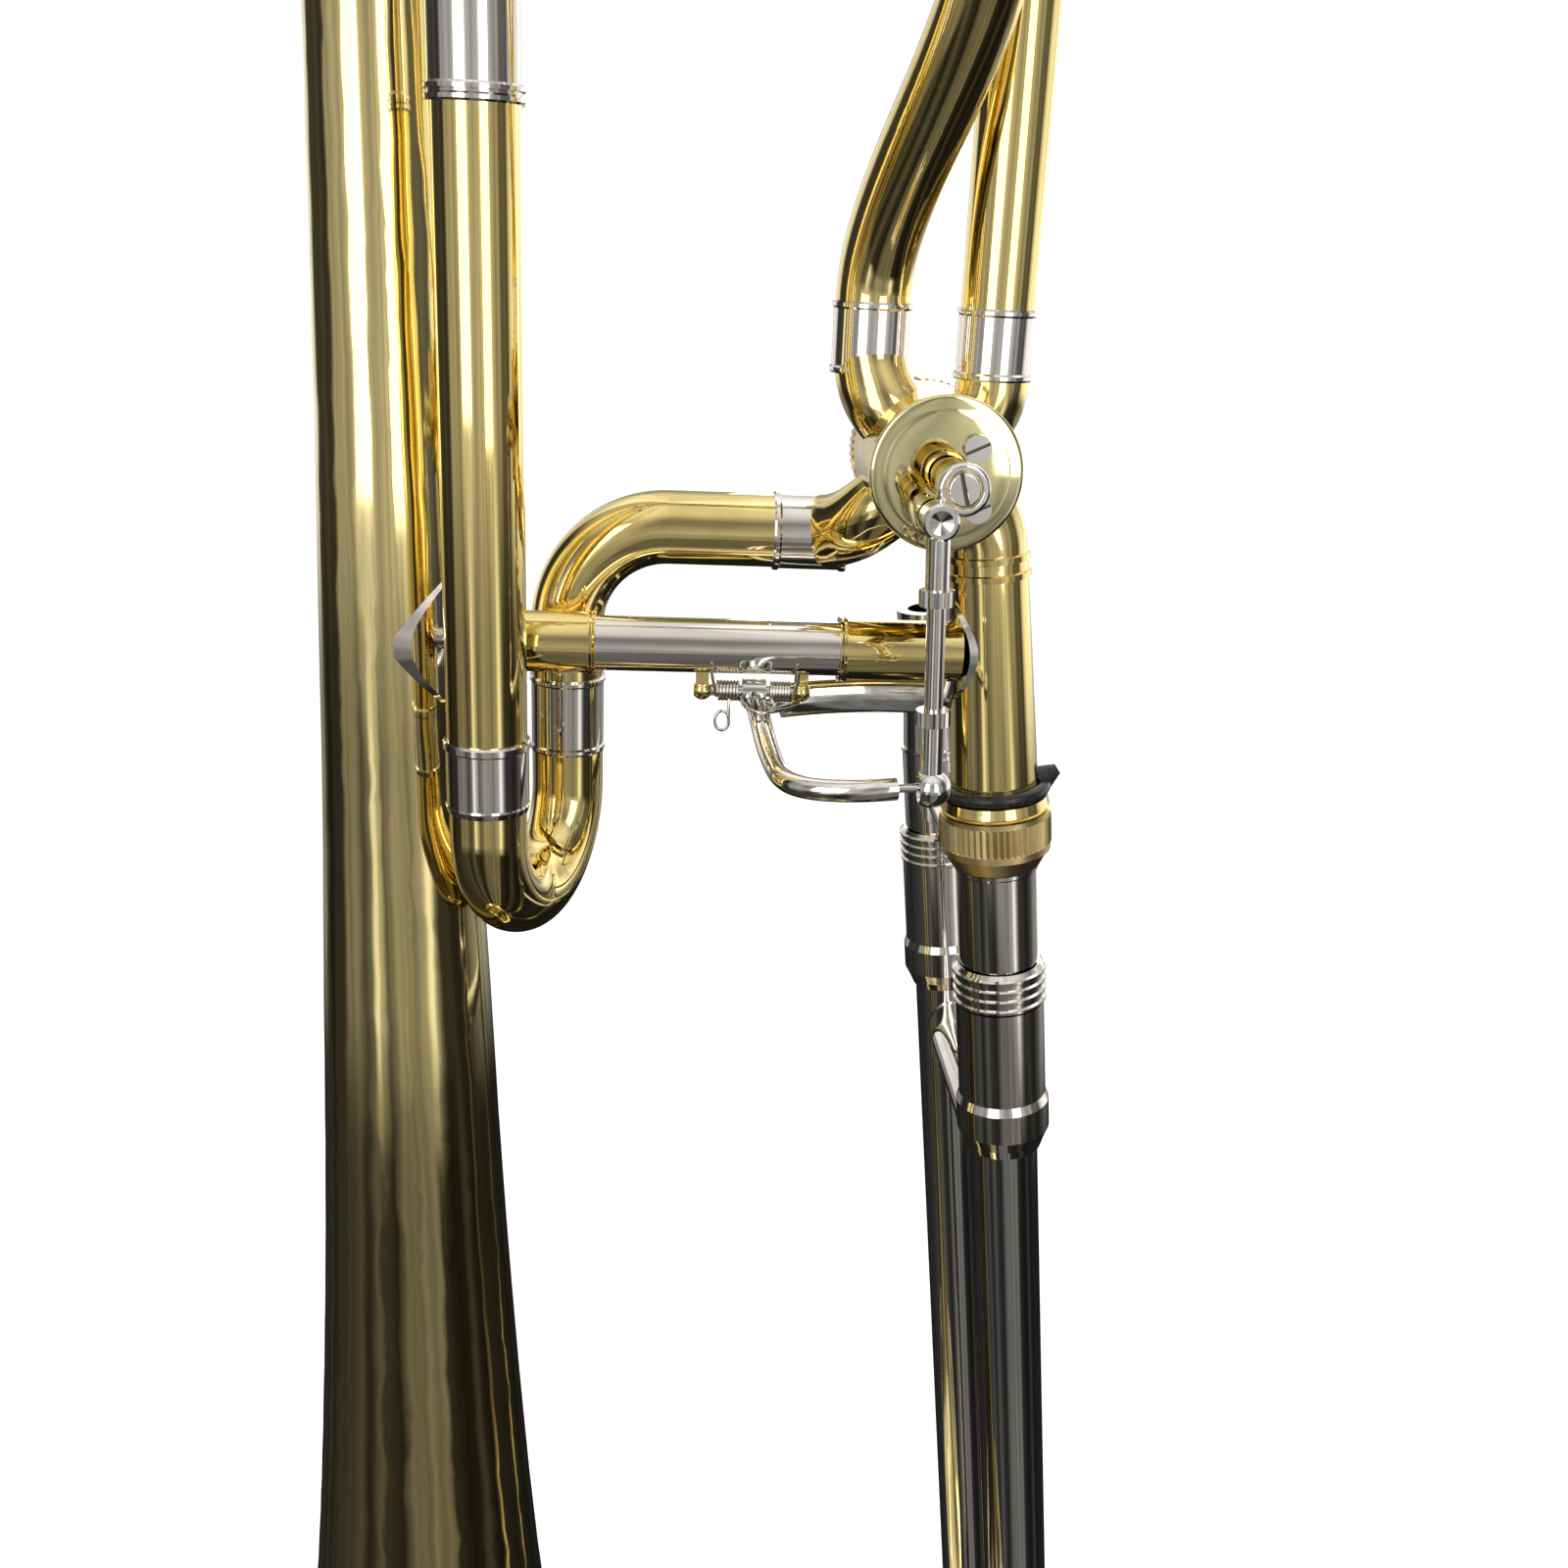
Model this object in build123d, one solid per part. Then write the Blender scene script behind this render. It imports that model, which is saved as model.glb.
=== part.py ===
"""Tenor trombone with a rotary F valve, built as separate pieces in millimetres.

The bell axis is the Z axis and the bell mouth lies at Z = 0, facing down.  X runs from the bell to the
gooseneck and Y runs from the near slide tube to the mouthpiece tube.  The hand slide leans away from the
bell, so its pieces are modelled upright in a frame of their own and then placed by SLIDE.
"""
import os
from math import asin, cos, degrees, pi, radians, sin, sqrt

from build123d import *

os.makedirs("parts", exist_ok=True)

# ---------------------------------------------------------------- driving dimensions
ROTOR_X = 108.0          # valve centre, across from the bell axis
ROTOR_Z = 488.0          # valve centre, above the bell mouth
NECK_X = 119.1           # gooseneck axis at the height of the valve
SLIDE_TILT = 6.4         # degrees by which the hand slide leans away from the bell
SLIDE_SPAN = 89.5        # distance between the two hand slide tubes
WALL = 0.6               # tube wall
FIT = 0.05               # running clearance of slides and rotor

BELL_MOUTH_R = 108.0
BELL_WALL = 0.7
BELL_TOP_Z = ROTOR_Z + 116.0
BELL_TOP_R = 11.6

MAIN_R = 7.3             # straight leg of the main tube
MAIN_X = 119.0
MAIN_CROOK_Z = ROTOR_Z + 222.0
LEG_SLEEVE_Z = ROTOR_Z + 104.0
LEG_SLEEVE_TOP = ROTOR_Z + 186.0

F_R = 7.6                # F loop tube
F_LONG_X = 20.8
F_LONG_Y = -24.5
F_LONG_R = 7.8
F_SHORT_X = 34.5
F_SHORT_Y = 10.4
F_RIGHT_X = 109.0
F_ELBOW_Z = ROTOR_Z - 17.0
F_ELBOW_BEND = 21.0
F_SLEEVE_Z = ROTOR_Z + 60.5
F_SLEEVE_R = 8.3
F_SLEEVE_TOP = ROTOR_Z + 150.0
F_CROOK_Z = ROTOR_Z + 212.0
S_BEND_X = 94.8
S_BEND_Y = 4.0

BRACE_Y = -4.0
BRACE_Z = ROTOR_Z - 38.5
BRACE_R = 5.6
BRACE_SLEEVE_R = 6.2

ROTOR_R = 12.8
CASING_R = 14.6
CASING_FRONT = -18.0
CASING_REAR = 13.0
ROTOR_HALF = 9.0
PORT_R = 5.2
PORT_AT = ROTOR_R * cos(radians(45))
DISC_R = 14.9
DISC_FRONT = -20.4
HUB_FRONT = -40.0

ARM_R = 6.9              # stop arm: spindle to link ball
ARM_ANGLE = 225.0        # degrees, seen from the front
LINK_Y = -43.6
LINK_BALL_X = ROTOR_X + ARM_R * cos(radians(ARM_ANGLE))
LINK_BALL_Z = ROTOR_Z + ARM_R * sin(radians(ARM_ANGLE))
LEVER_BALL_X = 105.35
LEVER_BALL_Z = ROTOR_Z - 55.14
LEVER_Y = -5.0           # hinge line of the thumb lever
LEVER_Z = ROTOR_Z - 47.6
LEVER_X0 = 62.9
LEVER_X1 = 83.4

NECK_TOP = -18.0         # heights in the slide's own frame, measured along the near tube
NECK_BOTTOM = -68.0
NUT_TOP = -74.0
NUT_BOTTOM = -83.5
BARREL_TOP = -87.5
SLEEVE_TOP = -110.8
SLEEVE_BOTTOM = -157.8
TUBE_BOTTOM = -745.0
TUBE_R = 7.9
TUBE_IN_R = 7.4
INNER_R = TUBE_IN_R - 0.07
SLEEVE_R = 10.0
BARREL_R = 8.75
NUT_R = 12.2
RECEIVER_TOP = -50.0
HAND_BRACE_Z = -173.0
INNER_BRACE_Z = -99.0

SLIDE = Location((NECK_X, 0, ROTOR_Z), (0, -SLIDE_TILT, 0))
LEAN = Vector(sin(radians(SLIDE_TILT)), 0, -cos(radians(SLIDE_TILT)))
CCM = (Align.CENTER, Align.CENTER, Align.MIN)


# ---------------------------------------------------------------- small builders
def save(name, *shapes):
    """Write one node; several separate solids become one group."""
    solids = [solid for shape in shapes for solid in shape.solids()]
    whole = solids[0] if len(solids) == 1 else Compound(children=solids)
    export_step(whole, f"parts/{name}.step")


def post(x, y, z0, z1, radius):
    """Upright round bar."""
    return Pos(x, y, min(z0, z1)) * Cylinder(radius, abs(z1 - z0), align=CCM)


def tube(x, y, z0, z1, outer, inner):
    """Upright round tube."""
    return post(x, y, z0, z1, outer) - post(x, y, min(z0, z1) - 1, max(z0, z1) + 1, inner)


def turned(points, x=0.0, y=0.0):
    """Solid of revolution about an upright axis from (radius, height) points."""
    outline = Polyline([(radius, 0, z) for radius, z in points], close=True)
    return Pos(x, y, 0) * revolve(make_face(outline), Axis.Z)


def swept(path, outer, inner=0.0):
    """Round bar or tube along a path."""
    start = Plane(origin=path @ 0, z_dir=path % 0)
    ring = Circle(outer) - Circle(inner) if inner else Circle(outer)
    return sweep(start * ring, path=path)


def ferrule(z0, z1, inner, outer, bead=0.45, width=1.5):
    """Upright ferrule with a bead at each end."""
    low, high = min(z0, z1), max(z0, z1)
    return turned([
        (inner, low), (outer + 0.2, low), (outer + bead, low + 0.4), (outer + bead, low + width - 0.4),
        (outer, low + width), (outer, high - width), (outer + bead, high - width + 0.4),
        (outer + bead, high - 0.4), (outer + 0.2, high), (inner, high)])


def lying_x(shape, x, y, z):
    """Lay an upright shape along +X and put its origin at a point."""
    return Pos(x, y, z) * Rot(0, 90, 0) * shape


def lying_y(shape, x, y, z):
    """Lay an upright shape along -Y and put its origin at a point."""
    return Pos(x, y, z) * Rot(90, 0, 0) * shape


def curve(start, start_dir, end, end_dir, pull=1.0):
    return Spline([start, end], tangents=[start_dir, end_dir], tangent_scalars=[pull, pull])


def half_turn(x0, y0, x1, y1, z, up):
    """Half circle between two upright legs."""
    middle = ((x0 + x1) / 2, (y0 + y1) / 2)
    reach = sqrt((x1 - x0) ** 2 + (y1 - y0) ** 2) / 2
    return ThreePointArc((x0, y0, z), (*middle, z + (reach if up else -reach)), (x1, y1, z))


def knurled(radius, depth, count, z0, z1, bore):
    """Straight-knurled ring."""
    points = []
    for index in range(2 * count):
        angle = pi * index / count
        reach = radius - (index % 2) * depth
        points.append((reach * cos(angle), reach * sin(angle), min(z0, z1)))
    body = extrude(make_face(Polyline(points, close=True)), abs(z1 - z0), dir=(0, 0, 1))
    return body - post(0, 0, min(z0, z1) - 1, max(z0, z1) + 1, bore)


# ---------------------------------------------------------------- bell
BELL_PROFILE = [
    (BELL_MOUTH_R, 0.0), (98.0, 5.5), (87.5, 13.5), (77.0, 25.0), (66.5, 40.0), (56.5, 60.0), (48.0, 85.0),
    (41.0, 115.0), (34.6, 152.0), (27.7, 207.0), (24.7, 243.0), (21.9, 286.0), (19.6, 330.0), (17.5, 381.0),
    (16.3, 408.0), (15.2, 444.0), (13.7, 497.0), (12.2, 565.0), (BELL_TOP_R, BELL_TOP_Z - 14)]


def bell_outline(inset):
    """Bell wall line moved inward, square to itself."""
    line = []
    for index, (radius, z) in enumerate(BELL_PROFILE):
        before = BELL_PROFILE[max(index - 1, 0)]
        after = BELL_PROFILE[min(index + 1, len(BELL_PROFILE) - 1)]
        run, rise = after[0] - before[0], after[1] - before[1]
        length = sqrt(run * run + rise * rise)
        line.append((radius - inset * rise / length, 0, z + inset * run / length))
    return line


def bell_solid(inset):
    """Solid inside one bell line, closed at the axis."""
    line = bell_outline(inset)
    top = (line[-1][0], 0, BELL_TOP_Z)
    edges = Spline(line) + Polyline([line[-1], top, (0, 0, BELL_TOP_Z), (0, 0, line[0][2]), line[0]])
    return revolve(make_face(edges), Axis.Z)


bell_outer = bell_solid(0.0)
bell_inner = bell_solid(BELL_WALL)
rim_wire = Pos(0, 0, 0.2) * Torus(BELL_MOUTH_R - 0.2, 1.5)
bell = bell_outer - bell_inner - post(0, 0, BELL_TOP_Z - 2, BELL_TOP_Z + 2, BELL_TOP_R - BELL_WALL)
bell = bell - post(0, 0, -6, 0.0, BELL_MOUTH_R - 6) - rim_wire
save("bell", max(bell.solids(), key=lambda solid: solid.volume))
save("bell_rim_bead", rim_wire)

# ---------------------------------------------------------------- fixed main tube and its slide sleeves
STRAIGHT_START = ROTOR_Z + 16.2
main_leg = tube(MAIN_X, 0, STRAIGHT_START + 6, LEG_SLEEVE_Z + 8, MAIN_R, MAIN_R - WALL)
save("main_leg_tube", main_leg)
bell_sleeve = tube(0, 0, BELL_TOP_Z - 10, LEG_SLEEVE_TOP, BELL_TOP_R + 0.8, BELL_TOP_R)
main_sleeve = tube(MAIN_X, 0, LEG_SLEEVE_Z, LEG_SLEEVE_TOP, MAIN_R + 0.8, MAIN_R)
sleeve_ends = []
for x, radius, low in ((0, BELL_TOP_R + 0.8, BELL_TOP_Z - 10), (MAIN_X, MAIN_R + 0.8, LEG_SLEEVE_Z)):
    sleeve_ends.append(Pos(x, 0, 0) * ferrule(low + 1, low + 7, radius, radius + 0.4))
    sleeve_ends.append(Pos(x, 0, 0) * ferrule(LEG_SLEEVE_TOP - 8, LEG_SLEEVE_TOP, radius, radius + 0.5))
save("tuning_slide_outer_legs", bell_sleeve, main_sleeve, *sleeve_ends)

# ---------------------------------------------------------------- main tuning slide
leg_low = LEG_SLEEVE_TOP - 66
leg_high = MAIN_CROOK_Z
bell_leg = tube(0, 0, leg_low, leg_high, BELL_TOP_R - FIT, BELL_TOP_R - FIT - WALL)
main_leg_in = tube(MAIN_X, 0, leg_low, leg_high, MAIN_R - FIT, MAIN_R - FIT - WALL)
save("tuning_slide_inner_legs", bell_leg, main_leg_in)

crook_path = half_turn(0, 0, MAIN_X, 0, MAIN_CROOK_Z, True)


def tapered_crook(shrink):
    """Half-round crook that narrows from the bell leg to the straight leg."""
    big, small = BELL_TOP_R - FIT - shrink, MAIN_R - FIT - shrink
    sections = []
    for step in range(5):
        along = step / 4
        plane = Plane(origin=crook_path @ along, z_dir=crook_path % along)
        sections.append(plane * Circle(big + (small - big) * along))
    return sweep(sections=sections, path=crook_path, multisection=True)


crook = tapered_crook(0.0) - tapered_crook(WALL)
save("tuning_slide_crook", crook)
crook_ferrules = []
for x, radius in ((0, BELL_TOP_R - FIT), (MAIN_X, MAIN_R - FIT)):
    crook_ferrules.append(Pos(x, 0, 0) * ferrule(MAIN_CROOK_Z - 15, MAIN_CROOK_Z, radius, radius + 0.7))
crook_bar_z = MAIN_CROOK_Z - 4
crook_bar = lying_x(Cylinder(3.0, MAIN_X, align=CCM), 0, 0, crook_bar_z)
crook_bar -= post(0, 0, crook_bar_z - 20, crook_bar_z + 20, BELL_TOP_R - FIT + 1.2)
crook_bar -= post(MAIN_X, 0, crook_bar_z - 20, crook_bar_z + 20, MAIN_R - FIT + 1.2)
save("tuning_slide_ferrules", *crook_ferrules, crook_bar)

# ---------------------------------------------------------------- F loop: fixed tubes
U_TOP = ROTOR_Z - 67.5
U_BEND_Z = ROTOR_Z - 73.3
leg_end = ROTOR_Z - 60.0
save("f_long_leg", tube(F_LONG_X, F_LONG_Y, leg_end, F_SLEEVE_Z + 8, F_LONG_R, F_LONG_R - WALL))
u_path = Polyline([(F_LONG_X, F_LONG_Y, leg_end), (F_LONG_X, F_LONG_Y, U_BEND_Z)])
u_path += half_turn(F_LONG_X, F_LONG_Y, F_SHORT_X, F_SHORT_Y, U_BEND_Z, False)
u_path += Polyline([(F_SHORT_X, F_SHORT_Y, U_BEND_Z), (F_SHORT_X, F_SHORT_Y, leg_end)])
save("f_u_bend", swept(Wire(u_path.edges()), F_R, F_R - WALL))

elbow_left = F_SHORT_X + F_ELBOW_BEND
elbow_low = F_ELBOW_Z - F_ELBOW_BEND
ELBOW_END = 84.0
diagonal = F_ELBOW_BEND * (1 - cos(radians(45)))
elbow_path = Polyline([(ELBOW_END, F_SHORT_Y, F_ELBOW_Z), (elbow_left, F_SHORT_Y, F_ELBOW_Z)])
elbow_path += ThreePointArc(
    (elbow_left, F_SHORT_Y, F_ELBOW_Z),
    (F_SHORT_X + diagonal, F_SHORT_Y, F_ELBOW_Z - diagonal),
    (F_SHORT_X, F_SHORT_Y, elbow_low))
elbow_path += Polyline([(F_SHORT_X, F_SHORT_Y, elbow_low), (F_SHORT_X, F_SHORT_Y, leg_end + 3)])
save("f_elbow", swept(Wire(elbow_path.edges()), F_R, F_R - WALL))

S_START = ROTOR_Z + 22.4
S_LOW = ROTOR_Z + 30.2
S_END = ROTOR_Z + 96.0
S_R = MAIN_R + 0.1
s_path = Polyline([(S_BEND_X, S_BEND_Y, S_START), (S_BEND_X, S_BEND_Y, S_LOW)])
s_path += curve((S_BEND_X, S_BEND_Y, S_LOW), (0, 0, 1), (F_RIGHT_X, F_LONG_Y, S_END), (0, 0, 1), 0.9)
s_path += Polyline([(F_RIGHT_X, F_LONG_Y, S_END), (F_RIGHT_X, F_LONG_Y, S_END + 8)])
save("f_s_bend", swept(Wire(s_path.edges()), S_R, S_R - WALL))

f_sleeves = [
    tube(F_LONG_X, F_LONG_Y, F_SLEEVE_Z, F_SLEEVE_TOP, F_SLEEVE_R, F_LONG_R),
    tube(F_RIGHT_X, F_LONG_Y, S_END, F_SLEEVE_TOP, F_SLEEVE_R, F_LONG_R)
    + tube(F_RIGHT_X, F_LONG_Y, S_END, S_END + 8, F_SLEEVE_R, S_R)]
f_bands = [
    Pos(F_LONG_X, F_LONG_Y, 0) * ferrule(F_SLEEVE_Z, F_SLEEVE_Z + 3.2, F_SLEEVE_R, F_SLEEVE_R + 0.15),
    Pos(F_LONG_X, F_LONG_Y, 0) * ferrule(F_SLEEVE_TOP - 7, F_SLEEVE_TOP, F_SLEEVE_R, F_SLEEVE_R + 0.4),
    Pos(F_RIGHT_X, F_LONG_Y, 0) * ferrule(S_END, S_END + 6, F_SLEEVE_R, F_SLEEVE_R + 0.3),
    Pos(F_RIGHT_X, F_LONG_Y, 0) * ferrule(F_SLEEVE_TOP - 7, F_SLEEVE_TOP, F_SLEEVE_R, F_SLEEVE_R + 0.4)]
save("f_slide_outer_legs", *f_sleeves, *f_bands)

# ferrules that cover the tube joints round the valve, in nickel silver
valve_ferrules = [
    Pos(MAIN_X, 0, 0) * ferrule(ROTOR_Z + 16.2, ROTOR_Z + 29.8, MAIN_R, MAIN_R + 0.25, 0.35),
    Pos(S_BEND_X, S_BEND_Y, 0) * ferrule(ROTOR_Z + 16.2, ROTOR_Z + 30.0, MAIN_R + 0.1, MAIN_R + 0.4, 0.35),
    lying_x(ferrule(0, 15.4, F_R, F_R + 0.25, 0.35), 77.2, F_SHORT_Y, F_ELBOW_Z),
    Pos(F_SHORT_X, F_SHORT_Y, 0) * ferrule(ROTOR_Z - 65.4, ROTOR_Z - 49.0, F_R, F_R + 0.1, 0.35)]
long_ferrule = turned([
    (F_R, U_TOP), (8.0, U_TOP), (8.3, U_TOP + 1.2), (8.1, U_TOP + 1.6), (8.1, ROTOR_Z - 55),
    (8.5, ROTOR_Z - 54.6), (8.5, ROTOR_Z - 53.4), (8.2, ROTOR_Z - 53), (F_LONG_R, ROTOR_Z - 53),
    (F_LONG_R, leg_end), (F_R, leg_end)], F_LONG_X, F_LONG_Y)
save("tube_ferrules", *valve_ferrules, long_ferrule)

# ---------------------------------------------------------------- F tuning slide
F_INNER_R = F_LONG_R - FIT
f_low = F_SLEEVE_TOP - 45
f_legs = [tube(x, F_LONG_Y, f_low, F_CROOK_Z - 6, F_INNER_R, F_INNER_R - WALL) for x in (F_LONG_X, F_RIGHT_X)]
save("f_slide_inner_legs", *f_legs)
f_crook_path = Polyline([(F_LONG_X, F_LONG_Y, F_CROOK_Z - 6), (F_LONG_X, F_LONG_Y, F_CROOK_Z)])
f_crook_path += half_turn(F_LONG_X, F_LONG_Y, F_RIGHT_X, F_LONG_Y, F_CROOK_Z, True)
f_crook_path += Polyline([(F_RIGHT_X, F_LONG_Y, F_CROOK_Z), (F_RIGHT_X, F_LONG_Y, F_CROOK_Z - 6)])
save("f_slide_crook", swept(Wire(f_crook_path.edges()), F_INNER_R, F_INNER_R - WALL))
f_ferrules = [
    Pos(x, F_LONG_Y, 0) * ferrule(F_CROOK_Z - 13, F_CROOK_Z, F_INNER_R, F_INNER_R + 0.6)
    for x in (F_LONG_X, F_RIGHT_X)]
f_bar = lying_x(Cylinder(2.6, F_RIGHT_X - F_LONG_X, align=CCM), F_LONG_X, F_LONG_Y, F_CROOK_Z - 4)
for x in (F_LONG_X, F_RIGHT_X):
    f_bar -= post(x, F_LONG_Y, F_CROOK_Z - 20, F_CROOK_Z + 20, F_INNER_R + 1.06)
save("f_slide_ferrules", *f_ferrules, f_bar)

# ---------------------------------------------------------------- braces
inner_x0, inner_x1 = 41.1, 90.7
brace_tube = lying_x(
    tube(0, 0, 0, inner_x1 - inner_x0 + 16, BRACE_R, BRACE_R - 1), inner_x0 - 8, BRACE_Y, BRACE_Z)
save("main_brace_tube", brace_tube)
neck_line_x = NECK_X + (ROTOR_Z - BRACE_Z) * sin(radians(SLIDE_TILT)) / cos(radians(SLIDE_TILT))


def neck_profile(grow):
    """Gooseneck outer line in the slide's frame, thickened by grow."""
    return [(0, NECK_BOTTOM), (9.45 + grow, NECK_BOTTOM), (8.25 + grow, NECK_TOP), (0, NECK_TOP)]


neck_core = SLIDE * turned(neck_profile(0.0))
neck_skin = SLIDE * turned(neck_profile(0.9))
bell_skin = bell_solid(-0.9)


def oval(middle_y, half_y, half_z, x0, x1):
    """Oval prism along X that trims a saddle flange."""
    plane = Plane(origin=(x0, middle_y, BRACE_Z), x_dir=(0, 1, 0), z_dir=(1, 0, 0))
    return extrude(plane * Ellipse(half_y, half_z), x1 - x0)


bell_flange = (bell_skin & oval(BRACE_Y, 11.0, 15.0, 2, 30)) - bell_outer
neck_flange = (neck_skin & oval(-1.2, 6.6, 10.8, 100, neck_line_x)) - neck_core
save("brace_flanges", bell_flange, neck_flange)


def brace_sleeve(x0, x1, bead_at):
    """Brass end of the main brace, from x0 to x1, with a bead towards the middle."""
    body = lying_x(tube(0, 0, 0, x1 - x0, BRACE_SLEEVE_R, BRACE_R), x0, BRACE_Y, BRACE_Z)
    bead = lying_x(ferrule(0, 1.6, BRACE_R, BRACE_SLEEVE_R + 0.3, 0.2, 0.7), bead_at, BRACE_Y, BRACE_Z)
    return body + bead


RIGHT_SLEEVE_END = 116.0  # stops short of the gooseneck's middle, so that nothing runs on past its front
left_sleeve = brace_sleeve(10, inner_x0, inner_x0 - 1.6) - bell_skin
right_sleeve = brace_sleeve(inner_x1, RIGHT_SLEEVE_END, inner_x1) - neck_skin
save("main_brace_sleeves",
     max(left_sleeve.solids(), key=lambda solid: solid.volume),
     max(right_sleeve.solids(), key=lambda solid: solid.volume))

UPPER_Z = ROTOR_Z + 123.0
upper = lying_x(Cylinder(3.2, MAIN_X, align=CCM), 0, 0, UPPER_Z)
upper -= post(0, 0, UPPER_Z - 9, UPPER_Z + 9, BELL_TOP_R + 0.8)
upper -= post(MAIN_X, 0, UPPER_Z - 9, UPPER_Z + 9, MAIN_R + 0.8)


def tie(x0, y0, x1, y1, z, radius, cut0, cut1):
    """Short bar between two upright tubes, trimmed to both."""
    plane = Plane(origin=(x0, y0, z), z_dir=(x1 - x0, y1 - y0, 0))
    bar = extrude(plane * Circle(radius), sqrt((x1 - x0) ** 2 + (y1 - y0) ** 2))
    return bar - post(x0, y0, z - 9, z + 9, cut0) - post(x1, y1, z - 9, z + 9, cut1)


tie_z = ROTOR_Z + 130.5
ties = [
    tie(0, 0, F_LONG_X, F_LONG_Y, tie_z, 2.4, BELL_TOP_R + 0.8, F_SLEEVE_R),
    tie(MAIN_X, 0, F_RIGHT_X, F_LONG_Y, tie_z, 2.4, MAIN_R + 0.8, F_SLEEVE_R)]
stay = Pos(F_LONG_X, 0, BRACE_Z) * Rot(90, 0, 0) * Cylinder(2.2, 22, align=CCM)
stay -= post(F_LONG_X, F_LONG_Y, BRACE_Z - 9, BRACE_Z + 9, F_LONG_R)
stay -= lying_x(Cylinder(BRACE_SLEEVE_R, 60, align=CCM), 0, BRACE_Y, BRACE_Z)
save("upper_braces", upper, *ties, min(stay.solids(), key=lambda solid: solid.center().Y))

# ---------------------------------------------------------------- rotary valve, axis along Y
def across(y0, y1, radius, x=ROTOR_X, z=ROTOR_Z):
    """Round bar along Y from y0 to y1."""
    low, high = min(y0, y1), max(y0, y1)
    return lying_y(Cylinder(radius, high - low, align=CCM), x, high, z)


def ring_across(y0, y1, outer, inner, x=ROTOR_X, z=ROTOR_Z):
    low, high = min(y0, y1), max(y0, y1)
    return across(low, high, outer, x, z) - across(low - 1, high + 1, inner, x, z)


neck_start = Vector(NECK_X, 0, ROTOR_Z) - LEAN * NECK_TOP
port_ends = {
    "up_right": ((1, 1), (MAIN_X, 0, ROTOR_Z + 22.2), (0, 0, 1), MAIN_R),
    "up_left": ((-1, 1), (S_BEND_X, S_BEND_Y, S_START), (0, 0, 1), MAIN_R + 0.1),
    "left": ((-1, -1), (ELBOW_END, F_SHORT_Y, F_ELBOW_Z), (-1, 0, 0), F_R),
    "down_right": ((1, -1), tuple(neck_start), tuple(LEAN), 8.25)}
casing_round = across(CASING_FRONT, CASING_REAR, CASING_R)
casing = ring_across(CASING_FRONT, CASING_REAR, CASING_R, ROTOR_R + FIT)
knuckles = []
for (side, up), end, direction, radius in port_ends.values():
    start = (ROTOR_X + side * (PORT_AT - 1.0), 0, ROTOR_Z + up * (PORT_AT - 1.0))
    knuckle_path = curve(start, (side, 0, up * 0.9), end, direction, 1.15)
    solid_bend = swept(knuckle_path, radius)
    hollow = swept(knuckle_path, min(radius - WALL, PORT_R + 1.4))
    casing -= hollow
    piece = solid_bend - hollow - casing_round
    knuckles.append(max(piece.solids(), key=lambda solid: solid.volume))
save("valve_casing", max(casing.solids(), key=lambda solid: solid.volume))
clean = []
for index, piece in enumerate(knuckles):
    for other in clean:
        piece = piece - other
    clean.append(max(piece.solids(), key=lambda solid: solid.volume))
save("valve_knuckles", *clean)

passages = []
for side in (-1, 1):
    reach = PORT_AT + 2.5
    inward = ThreePointArc(
        (ROTOR_X + side * reach, 0, ROTOR_Z - reach), (ROTOR_X + side * 6.7, 0, ROTOR_Z),
        (ROTOR_X + side * reach, 0, ROTOR_Z + reach))
    passages.append(swept(inward, PORT_R))
rotor = across(-ROTOR_HALF, ROTOR_HALF, ROTOR_R)
for passage in passages:
    rotor -= passage
SPINDLE_R = 2.6
spindle = across(DISC_FRONT - 3.4, -ROTOR_HALF, SPINDLE_R) + across(ROTOR_HALF, CASING_REAR + 1.5, SPINDLE_R)
save("rotor", rotor + spindle)
front_plate = ring_across(CASING_FRONT, -ROTOR_HALF - FIT, ROTOR_R + FIT, SPINDLE_R + FIT)
rear_plate = ring_across(ROTOR_HALF + FIT, CASING_REAR, ROTOR_R + FIT, SPINDLE_R + FIT)
save("bearing_plates", front_plate, rear_plate)
front_disc = across(DISC_FRONT, CASING_FRONT, DISC_R) - across(-60, 0, SPINDLE_R + 0.5)
front_disc = chamfer(front_disc.edges().filter_by(GeomType.CIRCLE).group_by(Axis.Y)[0].sort_by(
    SortBy.RADIUS)[-1:], 0.6)
save("valve_front_disc", front_disc)
cap_rear = CASING_REAR + 5.0
rear_cap = lying_y(knurled(DISC_R, 0.35, 60, 0, 5.0, 0.5), ROTOR_X, cap_rear, ROTOR_Z)
rear_cap += across(CASING_REAR + 4.0, cap_rear, DISC_R - 1)
rear_cap -= across(CASING_REAR, CASING_REAR + 3.2, SPINDLE_R + 1.5)
save("rear_valve_cap", rear_cap)

# stop screws and the two cork blocks that the stop arm comes to rest on
STOP_SCREWS = ((5.3, 5.2), (6.2, -6.3))
stop_screws = []
for dx, dz in STOP_SCREWS:
    screw = across(DISC_FRONT - 1.6, DISC_FRONT, 2.6, ROTOR_X + dx, ROTOR_Z + dz)
    slot_box = Pos(ROTOR_X + dx, DISC_FRONT - 1.6, ROTOR_Z + dz) * Rot(0, -25, 0) * Box(8, 1.2, 0.6)
    stop_screws.append(screw - slot_box)
save("stop_plate_screws", *stop_screws)

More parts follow.
